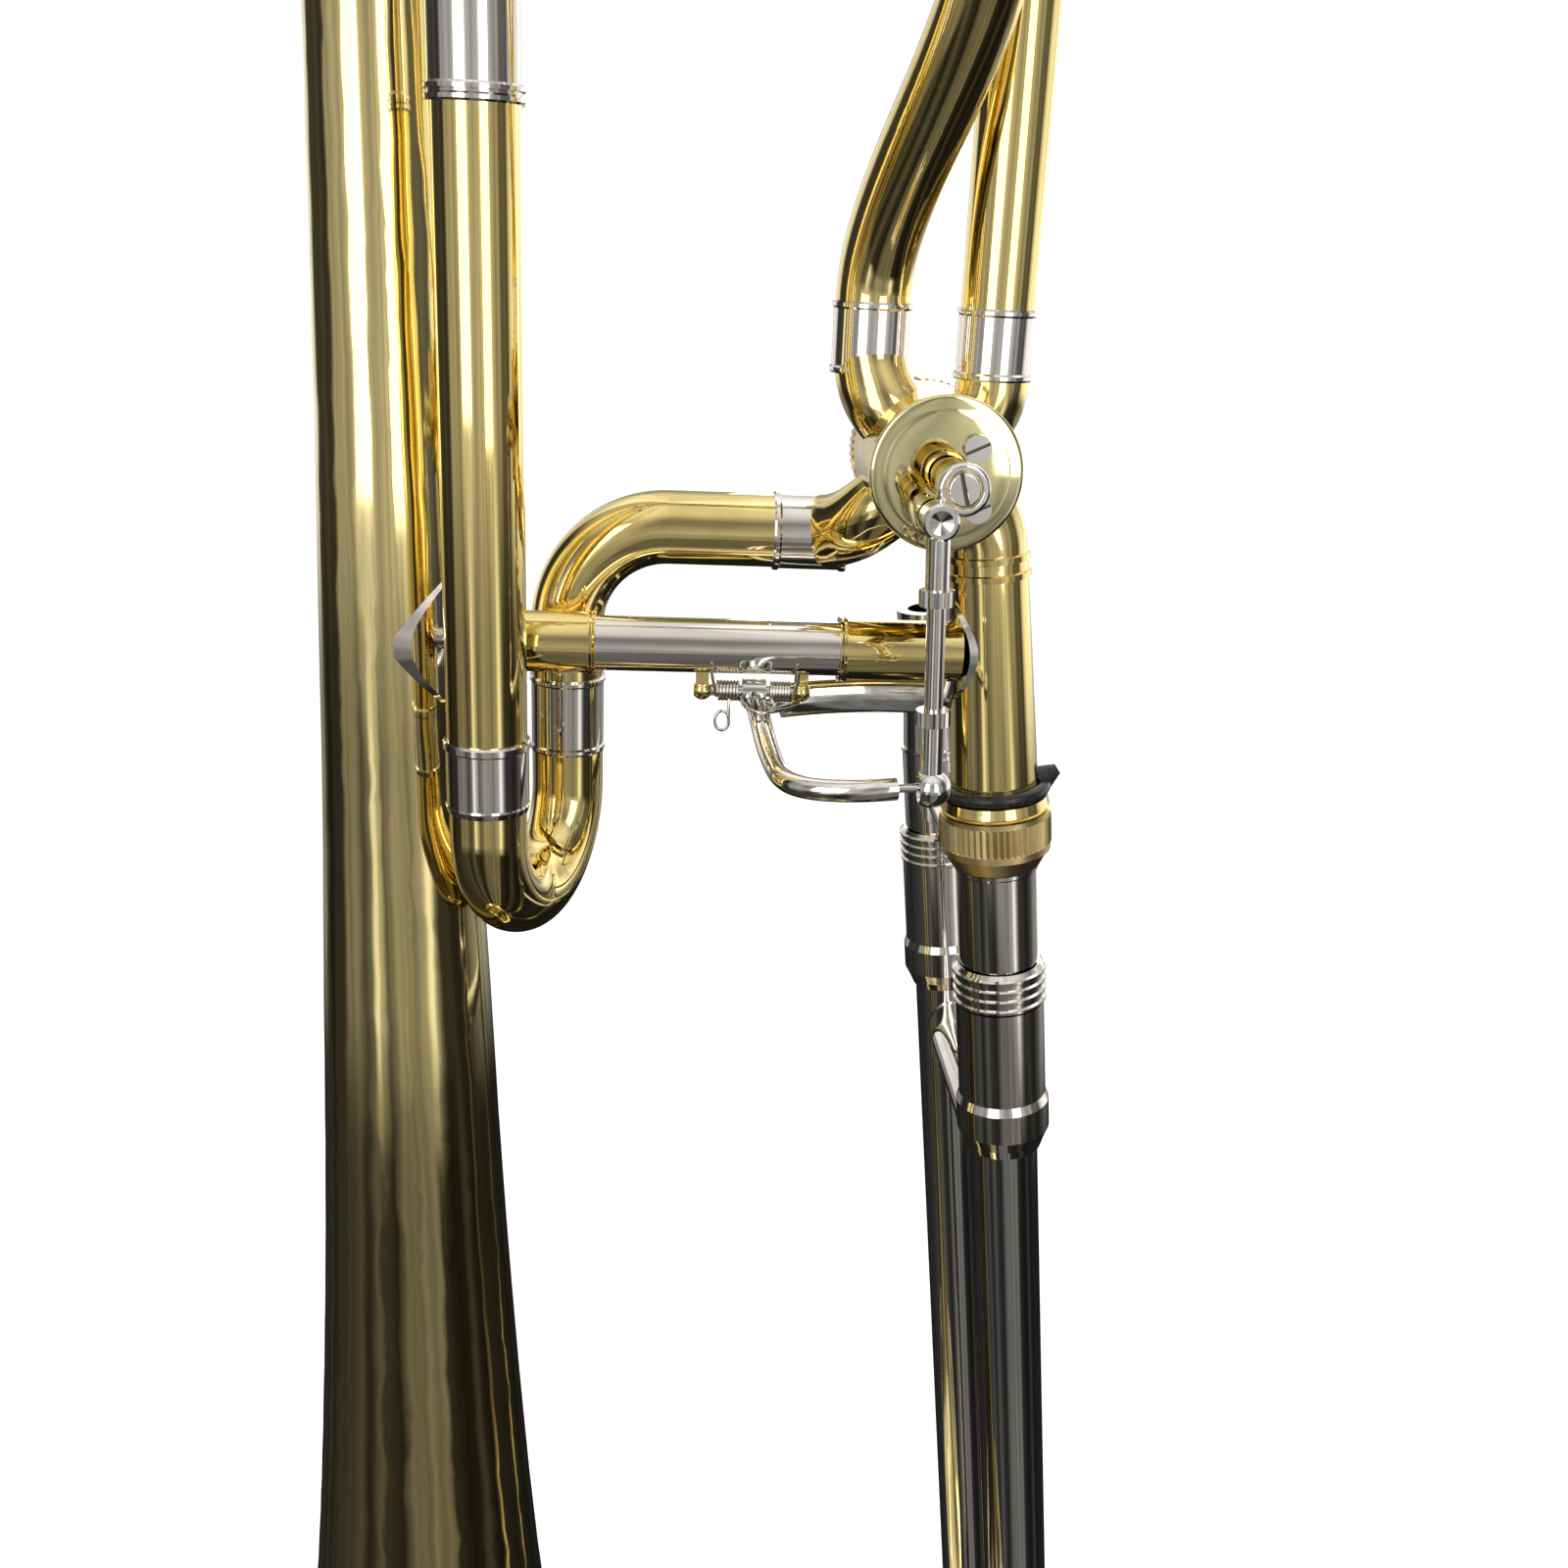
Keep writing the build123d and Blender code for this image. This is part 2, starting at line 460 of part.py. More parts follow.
# stop arm: hub on the spindle, arm, and the stud that carries the link ball
ARM_BACK = DISC_FRONT - 3.4
ARM_FRONT = HUB_FRONT + 2.6
ARM_THICK = 3.0
hub = ring_across(HUB_FRONT + 1.0, DISC_FRONT - 0.5, 3.4, SPINDLE_R) + across(HUB_FRONT + 1.0, ARM_BACK, 3.4)
hub += across(DISC_FRONT - 7.2, DISC_FRONT - 5.6, 4.1)
arm_plane = Plane(origin=(ROTOR_X, ARM_FRONT + ARM_THICK, ROTOR_Z), x_dir=(1, 0, 0), z_dir=(0, -1, 0))
arm_shape = Pos(ARM_R / 2, 0) * Rectangle(ARM_R, 4.0) + Pos(ARM_R, 0) * Circle(2.9)
arm_shape = Circle(4.6) + Rot(0, 0, ARM_ANGLE) * arm_shape
arm = extrude(arm_plane * arm_shape, ARM_THICK)
STUD_R = 1.2
BALL_R = 2.0
stud = across(LINK_Y + 1.2, ARM_FRONT, STUD_R, LINK_BALL_X, LINK_BALL_Z)
stop_pin = across(DISC_FRONT - 2.6, ARM_FRONT + 1, 1.7, LINK_BALL_X, LINK_BALL_Z)
stop_pin += across(DISC_FRONT - 8.2, ARM_FRONT + 1, 2.2, LINK_BALL_X, LINK_BALL_Z)
save("stop_arm", hub + arm + stud + stop_pin)
hub_cap = ring_across(HUB_FRONT, ARM_FRONT, 4.9, 3.4)
front_rims = hub_cap.edges().filter_by(GeomType.CIRCLE).group_by(Axis.Y)[0].sort_by(SortBy.RADIUS)
hub_cap = chamfer(front_rims[-1:], 0.5)
save("stop_arm_hub_ring", hub_cap)
spindle_screw = across(HUB_FRONT - 0.4, HUB_FRONT + 1.0, 3.1)
spindle_screw = chamfer(spindle_screw.edges().filter_by(GeomType.CIRCLE).group_by(Axis.Y)[0], 0.3)
spindle_screw -= Pos(ROTOR_X, HUB_FRONT - 0.4, ROTOR_Z) * Rot(0, 75, 0) * Box(9, 1.4, 0.7)
save("spindle_screw", spindle_screw)

# ---------------------------------------------------------------- link between stop arm and thumb lever
ball_at = Pos(LINK_BALL_X, LINK_Y, LINK_BALL_Z)
link_ball = ball_at * Sphere(BALL_R)
link_ball -= across(LINK_Y + 1.2 - FIT, LINK_Y + 9, STUD_R + FIT, LINK_BALL_X, LINK_BALL_Z)
save("link_ball", link_ball)

SOCKET_R = 3.4
SOCKET_HALF = 3.2
rod_run = sqrt((LEVER_BALL_X - LINK_BALL_X) ** 2 + (LEVER_BALL_Z - LINK_BALL_Z) ** 2)
rod_turn = degrees(asin((LEVER_BALL_X - LINK_BALL_X) / rod_run))
# built straight down from the upper ball, then turned a little so that it meets the lever ball
ROD = Location((LINK_BALL_X, LINK_Y, LINK_BALL_Z), (0, -rod_turn, 0))
upper_socket = lying_y(turned([
    (0, -SOCKET_HALF), (SOCKET_R - 0.9, -SOCKET_HALF), (SOCKET_R, 0.9 - SOCKET_HALF),
    (SOCKET_R, SOCKET_HALF - 0.5), (SOCKET_R - 0.5, SOCKET_HALF), (2.2, SOCKET_HALF),
    (0, SOCKET_HALF - 0.8)]), 0, 0, 0)
upper_socket -= Sphere(BALL_R + FIT)
upper_socket -= lying_y(Cylinder(1.8, 6, align=CCM), 0, 6.2, 0)
SHANK_END = -12.5        # heights below the upper ball
NUT_LONG = 2.9
LOWER_SHANK = -37.9
upper_shank = post(0, 0, -3.2, SHANK_END, 2.2)
save("link_upper_socket", ROD * ((upper_socket + upper_shank) - Sphere(BALL_R + FIT)))
save("link_rod", ROD * post(0, 0, SHANK_END, LOWER_SHANK, 1.8))
nut_tops = (SHANK_END, LOWER_SHANK + NUT_LONG)
lock_nuts = [ROD * knurled(3.3, 0.3, 18, top - NUT_LONG, top, 1.8) for top in nut_tops]
save("link_lock_nuts", *lock_nuts)
LOWER_BALL_R = 1.45
PLAY = 1.25              # room in the lower socket, so that the opened ball joint never binds
PLAY_SHIFT = 1.03        # the ball rests this far to one side of the socket and swings to the other
lower_socket = Pos(0, 0, -rod_run) * Sphere(3.8)
lower_socket += post(0, 0, -rod_run + 2.0, LOWER_SHANK, 2.2)
lower_socket -= Pos(0, 0, -rod_run) * Sphere(LOWER_BALL_R + PLAY)
lower_socket -= Pos(0, 0, -rod_run) * Rot(0, -90, 0) * Cone(1.9, 4.0, 5.0, align=CCM)
save("link_lower_socket", ROD * lower_socket)

# ---------------------------------------------------------------- thumb lever
HINGE_R = 1.2
hinge_pin = lying_x(Cylinder(HINGE_R, LEVER_X1 - LEVER_X0, align=CCM), LEVER_X0, LEVER_Y, LEVER_Z)
save("lever_hinge_pin", hinge_pin)
brace_bar = lying_x(Cylinder(BRACE_R, 60, align=CCM), 40, BRACE_Y, BRACE_Z)
pin_bar = lying_x(Cylinder(HINGE_R, 60, align=CCM), 40, LEVER_Y, LEVER_Z)
lever_feet = []
for x in (LEVER_X0, LEVER_X1):
    foot = Pos(x, (LEVER_Y + BRACE_Y) / 2, (LEVER_Z + BRACE_Z) / 2) * Box(2.6, 3.6, BRACE_Z - LEVER_Z)
    ball = Pos(x, LEVER_Y, LEVER_Z) * Sphere(2.1)
    lever_feet.append((foot + ball) - brace_bar - pin_bar)
save("lever_saddles", *[max(foot.solids(), key=lambda solid: solid.volume) for foot in lever_feet])

barrel_x0, barrel_x1 = 71.2, 76.0
barrel = lying_x(tube(0, 0, 0, barrel_x1 - barrel_x0, 2.6, HINGE_R + FIT), barrel_x0, LEVER_Y, LEVER_Z)
arm_route = [
    (73.6, LEVER_Y - 1.5, LEVER_Z - 1.4), (74.9, -18.0, ROTOR_Z - 52.3), (76.6, -30.0, ROTOR_Z - 55.6),
    (79.4, -38.0, ROTOR_Z - 56.6), (86.5, -42.4, ROTOR_Z - 56.4),
    (LEVER_BALL_X - 6.6, LINK_Y, LEVER_BALL_Z - 0.3)]
lever_arm = swept(Spline(arm_route), 2.2)
lever_ball_at = (LEVER_BALL_X - PLAY_SHIFT, LINK_Y, LEVER_BALL_Z)
lever_neck = extrude(Plane(origin=lever_ball_at, z_dir=(-1, 0, -0.05)) * Circle(0.8), 7.0)
pin_room = lying_x(Cylinder(HINGE_R + FIT, 30, align=CCM), 60, LEVER_Y, LEVER_Z)
lever = (barrel + lever_arm + lever_neck + Pos(*lever_ball_at) * Sphere(LOWER_BALL_R)) - pin_room
paddle_stem = swept(Spline([
    (73.6, LEVER_Y + 1.5, LEVER_Z - 1.4), (75.6, 4.0, ROTOR_Z - 53.0), (79.0, 11.0, ROTOR_Z - 55.0),
    (84.0, 15.5, ROTOR_Z - 55.0)]), 1.9)
paddle_line = ThreePointArc(
    (81.0, 15.0, ROTOR_Z - 55.0), (101.0, 19.0, ROTOR_Z - 54.4), (121.5, 16.0, ROTOR_Z - 54.0))
paddle_start = Plane(origin=paddle_line @ 0, x_dir=(0, 0, 1), z_dir=paddle_line % 0)
paddle = sweep(paddle_start * Ellipse(4.1, 1.9), path=paddle_line)
lever = (lever + (paddle_stem - paddle)) - pin_room
save("lever_arm", max(lever.solids(), key=lambda solid: solid.volume))
save("thumb_paddle", paddle)


def coil(x0, x1, turns):
    """Open coil of spring wire round the hinge pin."""
    spiral = Helix(pitch=(x1 - x0) / turns, height=x1 - x0, radius=1.95)
    wire = sweep(Plane(origin=spiral @ 0, z_dir=spiral % 0) * Circle(0.32), path=spiral)
    return lying_x(wire, x0, LEVER_Y, LEVER_Z)


save("lever_spring", coil(65.8, 70.8, 5), coil(76.9, 81.4, 5))

# ---------------------------------------------------------------- gooseneck and bell lock
neck = turned([
    (9.45, NECK_BOTTOM), (8.25, NECK_TOP), (8.25 - WALL, NECK_TOP), (9.45 - WALL, NECK_BOTTOM)])
for height in (NECK_TOP - 1.0, NECK_TOP - 4.6):
    cone_r = 8.25 + (NECK_TOP - height) * 1.2 / (NECK_TOP - NECK_BOTTOM)
    neck += turned([
        (cone_r - 0.3, height - 0.9), (cone_r + 0.6, height - 0.6), (cone_r + 0.6, height + 0.6),
        (cone_r - 0.3, height + 0.9)])
save("gooseneck", SLIDE * neck)
receiver = turned([
    (INNER_R, NUT_BOTTOM + 1), (9.0, NUT_BOTTOM + 1), (9.0, NUT_TOP - 0.2), (11.4, NUT_TOP - 0.2),
    (11.8, NUT_TOP + 0.6), (11.4, NUT_TOP + 2.8), (9.5, NUT_TOP + 3.0), (9.5, NECK_BOTTOM),
    (INNER_R, NECK_BOTTOM)])
save("slide_receiver", SLIDE * receiver)
bumper_ring = Pos(0, 0, NUT_TOP + 4.6) * Torus(10.7, 1.45)
bumper_nub = Pos(11.9, 0, NUT_TOP + 6.2) * Rot(0, 62, 0) * Cone(3.4, 1.2, 4.6)
save("rubber_bumper", SLIDE * ((bumper_ring + bumper_nub) - turned(neck_profile(0.05)) - receiver))
nut = knurled(NUT_R, 0.5, 54, NUT_BOTTOM + 1.6, NUT_TOP - 1.6, 9.07)
nut += tube(0, 0, NUT_BOTTOM, NUT_BOTTOM + 1.6, NUT_R - 0.25, 9.07)
nut += tube(0, 0, NUT_TOP - 1.6, NUT_TOP - 0.5, NUT_R - 0.25, 9.07)
nut += turned([
    (8.2, BARREL_TOP + 0.4), (9.6, BARREL_TOP + 0.4), (NUT_R - 0.6, NUT_BOTTOM), (8.2, NUT_BOTTOM)])
save("bell_lock_nut", SLIDE * nut)

# ---------------------------------------------------------------- inner hand slide (fixed to the lock)
spans = (0.0, SLIDE_SPAN)
inner_low = TUBE_BOTTOM + 12
near_inner = tube(0, 0, inner_low, NECK_BOTTOM - 1, INNER_R, INNER_R - WALL)
far_inner = tube(0, SLIDE_SPAN, inner_low, RECEIVER_TOP - 26, INNER_R, INNER_R - WALL)
save("inner_slide_tubes", SLIDE * near_inner, SLIDE * far_inner)
barrels = []
for y in spans:
    barrels.append(SLIDE * turned([
        (INNER_R, SLEEVE_TOP + 0.4), (BARREL_R, SLEEVE_TOP + 0.4), (BARREL_R, BARREL_TOP - 1.2),
        (BARREL_R + 0.35, BARREL_TOP - 0.8), (BARREL_R + 0.35, BARREL_TOP), (INNER_R, BARREL_TOP)], 0, y))
save("cork_barrels", *barrels)
mouth_receiver = turned([
    (INNER_R, BARREL_TOP), (8.4, BARREL_TOP), (8.0, BARREL_TOP + 8), (7.9, RECEIVER_TOP - 4),
    (8.5, RECEIVER_TOP - 3.4), (8.5, RECEIVER_TOP), (5.7, RECEIVER_TOP), (5.7, RECEIVER_TOP - 26),
    (INNER_R, RECEIVER_TOP - 26)], 0, SLIDE_SPAN)
save("mouthpiece_receiver", SLIDE * mouth_receiver)


def cross_bar(z, radius, trim):
    """Bar between the two slide tubes."""
    bar = Pos(0, SLIDE_SPAN, z) * Rot(90, 0, 0) * Cylinder(radius, SLIDE_SPAN, align=CCM)
    for y in spans:
        bar -= post(0, y, z - 15, z + 15, trim)
    return bar


def saddle_pair(z, inner, half_y, half_z):
    """Oval feet where a cross bar meets the slide tubes."""
    feet = []
    for y, sign in ((0, 1), (SLIDE_SPAN, -1)):
        skin = post(0, y, z - 20, z + 20, inner + 0.9) - post(0, y, z - 21, z + 21, inner)
        plane = Plane(origin=(0, y, z), x_dir=(1, 0, 0), z_dir=(0, sign, 0))
        feet.append(skin & extrude(plane * Ellipse(half_y, half_z), inner + 5))
    return feet


inner_brace = [cross_bar(INNER_BRACE_Z, 4.6, BARREL_R + 0.9), *saddle_pair(INNER_BRACE_Z, BARREL_R, 6.4, 9.5)]
save("inner_slide_brace", *[SLIDE * piece for piece in inner_brace])

# ---------------------------------------------------------------- outer hand slide (moves)
outer_tubes = [SLIDE * tube(0, y, TUBE_BOTTOM, SLEEVE_TOP, TUBE_R, TUBE_IN_R) for y in spans]
save("outer_slide_tubes", *outer_tubes)


RINGS_LOW = SLEEVE_TOP - 9.8


def ringed(bore, low):
    """Grip rings round the top of a sleeve: four beads between low and the sleeve top."""
    line = [(bore, low), (SLEEVE_R, low)]
    height = SLEEVE_TOP - 9.5
    for _ in range(4):
        line += [
            (SLEEVE_R, height), (SLEEVE_R + 0.5, height + 0.4),
            (SLEEVE_R + 0.5, height + 1.0), (SLEEVE_R, height + 1.4)]
        height += 2.4
    return line + [(9.3, SLEEVE_TOP), (bore, SLEEVE_TOP)]


foot_line = [
    (TUBE_R, RINGS_LOW), (TUBE_R, SLEEVE_BOTTOM), (8.7, SLEEVE_BOTTOM), (9.5, SLEEVE_BOTTOM + 2.2),
    (SLEEVE_R + 0.7, SLEEVE_BOTTOM + 5), (SLEEVE_R + 0.7, SLEEVE_BOTTOM + 12), (SLEEVE_R, SLEEVE_BOTTOM + 14),
    (SLEEVE_R, RINGS_LOW)]
far_sleeve = turned(foot_line, 0, SLIDE_SPAN) + turned(ringed(TUBE_R, RINGS_LOW), 0, SLIDE_SPAN)
save("outer_slide_sleeves", SLIDE * turned(foot_line), SLIDE * far_sleeve)
# on the near tube the four rings belong to the collar that locks the slide shut
save("slide_lock_ring", SLIDE * turned(ringed(TUBE_R + 0.06, RINGS_LOW + 0.35)))
hand_brace = [cross_bar(HAND_BRACE_Z, 5.2, TUBE_R + 0.9), *saddle_pair(HAND_BRACE_Z, TUBE_R, 6.2, 11.0)]
save("hand_brace", *[SLIDE * piece for piece in hand_brace])
bow_path = Polyline([(0, 0, TUBE_BOTTOM + 8), (0, 0, TUBE_BOTTOM)])
bow_path += half_turn(0, 0, 0, SLIDE_SPAN, TUBE_BOTTOM, False)
bow_path += Polyline([(0, SLIDE_SPAN, TUBE_BOTTOM), (0, SLIDE_SPAN, TUBE_BOTTOM + 8)])
bow = swept(Wire(bow_path.edges()), TUBE_R, TUBE_IN_R)
for y in spans:
    bow -= post(0, y, TUBE_BOTTOM, TUBE_BOTTOM + 20, TUBE_R + 1)
save("slide_bow", SLIDE * bow)
bow_ferrules = []
for y in spans:
    bow_ferrules.append(SLIDE * Pos(0, y, 0) * ferrule(TUBE_BOTTOM + 0.4, TUBE_BOTTOM + 15, TUBE_R, TUBE_R + 0.6))
save("bow_ferrules", *bow_ferrules)
tip = TUBE_BOTTOM - SLIDE_SPAN / 2 - TUBE_R
bow_round = Pos(0, SLIDE_SPAN / 2, TUBE_BOTTOM) * Rot(0, 90, 0) * Torus(SLIDE_SPAN / 2, TUBE_R)
tip_line = [(0, tip + 5), (4.2, tip + 5), (4.2, tip - 4), (5.2, tip - 4.4), (5.2, tip - 6), (0, tip - 6)]
tip_socket = turned(tip_line, 0, SLIDE_SPAN / 2) - bow_round
save("bumper_socket", SLIDE * min(tip_socket.solids(), key=lambda solid: solid.center().Z))
bumper_line = [
    (0, tip - 6), (4.6, tip - 6), (5.0, tip - 8), (4.6, tip - 12), (3.4, tip - 13.5), (0, tip - 13.5)]
bumper_tip = turned(bumper_line, 0, SLIDE_SPAN / 2)
save("slide_bumper", SLIDE * bumper_tip)

# water key on the near leg of the bow
KEY_Z = TUBE_BOTTOM + 30.0
KEY_HINGE_X = -12.4
nipple = Pos(-TUBE_R + 1.5, 0, KEY_Z) * Rot(0, -90, 0) * Cylinder(2.8, 3.6, align=CCM)
nipple -= post(0, 0, KEY_Z - 9, KEY_Z + 9, TUBE_R)
nipple -= Pos(-TUBE_R + 1.5, 0, KEY_Z) * Rot(0, -90, 0) * Cylinder(1.4, 9, align=CCM)
key_posts = []
for y in (-4.6, 4.6):
    leg = Pos(-9.6, y, KEY_Z + 14) * Box(7.6, 1.6, 4.6) - post(0, 0, KEY_Z, KEY_Z + 30, TUBE_R)
    leg -= Pos(KEY_HINGE_X, 0, KEY_Z + 14) * Rot(90, 0, 0) * Cylinder(0.9, 30)
    key_posts.append(leg)
key_pin = Pos(KEY_HINGE_X, 0, KEY_Z + 14) * Rot(90, 0, 0) * Cylinder(0.9, 11.4)
save("water_key_seat", *[SLIDE * piece for piece in (nipple, *key_posts, key_pin)])
key_bar = Pos(KEY_HINGE_X - 0.4, 0, KEY_Z + 9) * Box(2.0, 4.6, 26)
key_bar += Pos(KEY_HINGE_X, 0, KEY_Z + 14) * Rot(90, 0, 0) * Cylinder(2.0, 7.0)
key_bar += Pos(KEY_HINGE_X - 1.4, 0, KEY_Z + 25) * Rot(0, -14, 0) * Box(1.6, 8.0, 12)
key_bar -= Pos(KEY_HINGE_X, 0, KEY_Z + 14) * Rot(90, 0, 0) * Cylinder(0.9 + FIT, 30)
save("water_key", SLIDE * key_bar)
key_cork = Pos(-TUBE_R - 2.2, 0, KEY_Z) * Rot(0, -90, 0) * Cylinder(2.6, 1.3, align=CCM)
save("water_key_cork", SLIDE * key_cork)
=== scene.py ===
"""Tenor trombone with a rotary F valve: finishes, fine pieces, studio and camera."""
import math

import bmesh
import bpy
from mathutils import Matrix, Vector


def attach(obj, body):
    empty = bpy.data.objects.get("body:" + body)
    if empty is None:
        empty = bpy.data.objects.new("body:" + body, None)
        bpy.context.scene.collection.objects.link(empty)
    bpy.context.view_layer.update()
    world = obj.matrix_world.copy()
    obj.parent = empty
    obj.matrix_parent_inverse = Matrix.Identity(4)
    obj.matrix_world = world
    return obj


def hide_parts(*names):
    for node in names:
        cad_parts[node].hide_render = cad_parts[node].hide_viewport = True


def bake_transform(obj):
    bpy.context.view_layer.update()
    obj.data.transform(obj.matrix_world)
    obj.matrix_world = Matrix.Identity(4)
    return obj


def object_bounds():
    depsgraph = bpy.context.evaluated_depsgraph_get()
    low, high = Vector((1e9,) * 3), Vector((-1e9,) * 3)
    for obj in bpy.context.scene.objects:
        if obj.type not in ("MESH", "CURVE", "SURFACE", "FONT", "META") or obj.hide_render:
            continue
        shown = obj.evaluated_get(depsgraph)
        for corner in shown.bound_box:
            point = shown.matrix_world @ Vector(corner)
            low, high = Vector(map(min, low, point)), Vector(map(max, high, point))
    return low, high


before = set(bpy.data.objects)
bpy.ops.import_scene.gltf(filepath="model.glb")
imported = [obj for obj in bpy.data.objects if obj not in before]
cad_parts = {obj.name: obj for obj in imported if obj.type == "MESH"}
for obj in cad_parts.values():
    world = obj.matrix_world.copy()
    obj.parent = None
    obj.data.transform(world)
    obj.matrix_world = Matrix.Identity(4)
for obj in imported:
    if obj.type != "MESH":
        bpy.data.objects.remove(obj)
cad_low, cad_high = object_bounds()


# ---------------------------------------------------------------- shader helpers
def new_group(name, inputs, outputs):
    """Empty shader group with named sockets; returns the tree and its two end nodes."""
    tree = bpy.data.node_groups.new(name, "ShaderNodeTree")
    for label, kind, value in inputs:
        socket = tree.interface.new_socket(name=label, in_out="INPUT", socket_type=kind)
        socket.default_value = value
    for label, kind in outputs:
        tree.interface.new_socket(name=label, in_out="OUTPUT", socket_type=kind)
    return tree, tree.nodes.new("NodeGroupInput"), tree.nodes.new("NodeGroupOutput")


def node(tree, kind, **settings):
    """New node of a kind, with its settings."""
    made = tree.nodes.new(kind)
    for key, value in settings.items():
        setattr(made, key, value)
    return made


def math_node(tree, operation, first, second=None):
    """Math node; each value is a socket or a number."""
    made = node(tree, "ShaderNodeMath", operation=operation)
    for index, value in enumerate((first, second)):
        if value is None:
            continue
        if isinstance(value, (int, float)):
            made.inputs[index].default_value = value
        else:
            tree.links.new(value, made.inputs[index])
    return made.outputs[0]


def noise(tree, vector, scale, detail=3.0, rough=0.55):
    """Noise texture; its scale is a socket or a number."""
    made = node(tree, "ShaderNodeTexNoise")
    if isinstance(scale, (int, float)):
        made.inputs["Scale"].default_value = scale
    else:
        tree.links.new(scale, made.inputs["Scale"])
    made.inputs["Detail"].default_value = detail
    made.inputs["Roughness"].default_value = rough
    tree.links.new(vector, made.inputs["Vector"])
    return made.outputs["Fac"]


def remap(tree, value, low, high, to_low, to_high):
    """Smooth step from one range to another; the last two may be sockets."""
    made = node(tree, "ShaderNodeMapRange", interpolation_type="SMOOTHSTEP")
    tree.links.new(value, made.inputs["Value"])
    for label, number in (("From Min", low), ("From Max", high), ("To Min", to_low), ("To Max", to_high)):
        if isinstance(number, (int, float)):
            made.inputs[label].default_value = number
        else:
            tree.links.new(number, made.inputs[label])
    return made.outputs["Result"]


def drawn_lines_group():
    """Fine lengthwise marks left by drawing and buffing a tube."""
    tree, start, end = new_group("drawn_lines", [
        ("Stretch", "NodeSocketVector", (1.0, 1.0, 0.01)), ("Fine", "NodeSocketFloat", 1400.0),
        ("Depth", "NodeSocketFloat", 0.02)], [("Height", "NodeSocketFloat"), ("Streak", "NodeSocketFloat")])
    where = node(tree, "ShaderNodeTexCoord")
    stretch = node(tree, "ShaderNodeMapping")
    tree.links.new(where.outputs["Object"], stretch.inputs["Vector"])
    tree.links.new(start.outputs["Stretch"], stretch.inputs["Scale"])
    fine = noise(tree, stretch.outputs["Vector"], start.outputs["Fine"], 2.0)
    broad = noise(tree, stretch.outputs["Vector"], 220.0, 3.0)
    tree.links.new(math_node(tree, "MULTIPLY", fine, start.outputs["Depth"]), end.inputs["Height"])
    tree.links.new(remap(tree, broad, 0.35, 0.65, 0.0, 1.0), end.inputs["Streak"])
    return tree


def handling_group():
    """Handling marks: soft cloudy patches with a few sharper smudges and specks."""
    tree, start, end = new_group("handling_marks", [
        ("Scale", "NodeSocketFloat", 18.0), ("Amount", "NodeSocketFloat", 0.5)],
        [("Cloud", "NodeSocketFloat"), ("Specks", "NodeSocketFloat")])
    where = node(tree, "ShaderNodeTexCoord")
    cloud = noise(tree, where.outputs["Object"], start.outputs["Scale"], 4.0, 0.6)
    smudge = noise(tree, where.outputs["Object"], 130.0, 5.0, 0.65)
    soft = remap(tree, cloud, 0.38, 0.68, 0.15, 1.0)
    sharp = remap(tree, smudge, 0.3, 0.75, 0.2, 1.0)
    both = math_node(tree, "MULTIPLY", soft, sharp)
    tree.links.new(math_node(tree, "MULTIPLY", both, start.outputs["Amount"]), end.inputs["Cloud"])
    speck = remap(tree, noise(tree, where.outputs["Object"], 900.0, 1.0), 0.74, 0.8, 0.0, 1.0)
    tree.links.new(speck, end.inputs["Specks"])
    return tree


DRAWN_LINES = drawn_lines_group()
HANDLING = handling_group()
UPRIGHT = (1.0, 1.0, 0.012)
SIDEWAYS = (0.012, 1.0, 1.0)
ALL_WAYS = (1.0, 1.0, 1.0)
SMALL_PART = {"stretch": ALL_WAYS, "fine": 2500.0}  # fine grain without a direction
MARKS = 0.6            # strength of the handling marks on metal
COAT_ROUGHNESS = 0.02
GRAIN_STRENGTH = 0.35
GRAIN_DISTANCE = 0.0004


def metal(name, bright, deep, roughness, rough_more, coat=0.0, stretch=UPRIGHT, fine=1400.0, depth=0.012):
    """Polished metal: drawn lines, handling marks and a second tone under the marks."""
    material = bpy.data.materials.new(name)
    material.use_nodes = True
    tree = material.node_tree
    shader = tree.nodes["Principled BSDF"]
    shader.inputs["Metallic"].default_value = 1.0
    shader.inputs["Coat Weight"].default_value = coat
    shader.inputs["Coat Roughness"].default_value = COAT_ROUGHNESS
    lines = node(tree, "ShaderNodeGroup", node_tree=DRAWN_LINES)
    lines.inputs["Stretch"].default_value = stretch
    lines.inputs["Fine"].default_value = fine
    lines.inputs["Depth"].default_value = depth
    marks = node(tree, "ShaderNodeGroup", node_tree=HANDLING)
    marks.inputs["Amount"].default_value = MARKS
    tone = node(tree, "ShaderNodeMix", data_type="RGBA")
    tone.inputs["A"].default_value = (*bright, 1.0)
    tone.inputs["B"].default_value = (*deep, 1.0)
    streaks = math_node(tree, "MULTIPLY", lines.outputs["Streak"], 0.5)
    clouds = math_node(tree, "MULTIPLY", marks.outputs["Cloud"], 0.6)
    tree.links.new(math_node(tree, "ADD", streaks, clouds), tone.inputs["Factor"])
    tree.links.new(tone.outputs["Result"], shader.inputs["Base Color"])
    specks = math_node(tree, "MULTIPLY", marks.outputs["Specks"], 0.5)
    dull = math_node(tree, "ADD", marks.outputs["Cloud"], specks)
    tree.links.new(remap(tree, dull, 0.0, 1.0, roughness, rough_more), shader.inputs["Roughness"])
    bump = node(tree, "ShaderNodeBump")
    bump.inputs["Strength"].default_value = GRAIN_STRENGTH
    bump.inputs["Distance"].default_value = GRAIN_DISTANCE
    tree.links.new(lines.outputs["Height"], bump.inputs["Height"])
    tree.links.new(bump.outputs["Normal"], shader.inputs["Normal"])
    return material


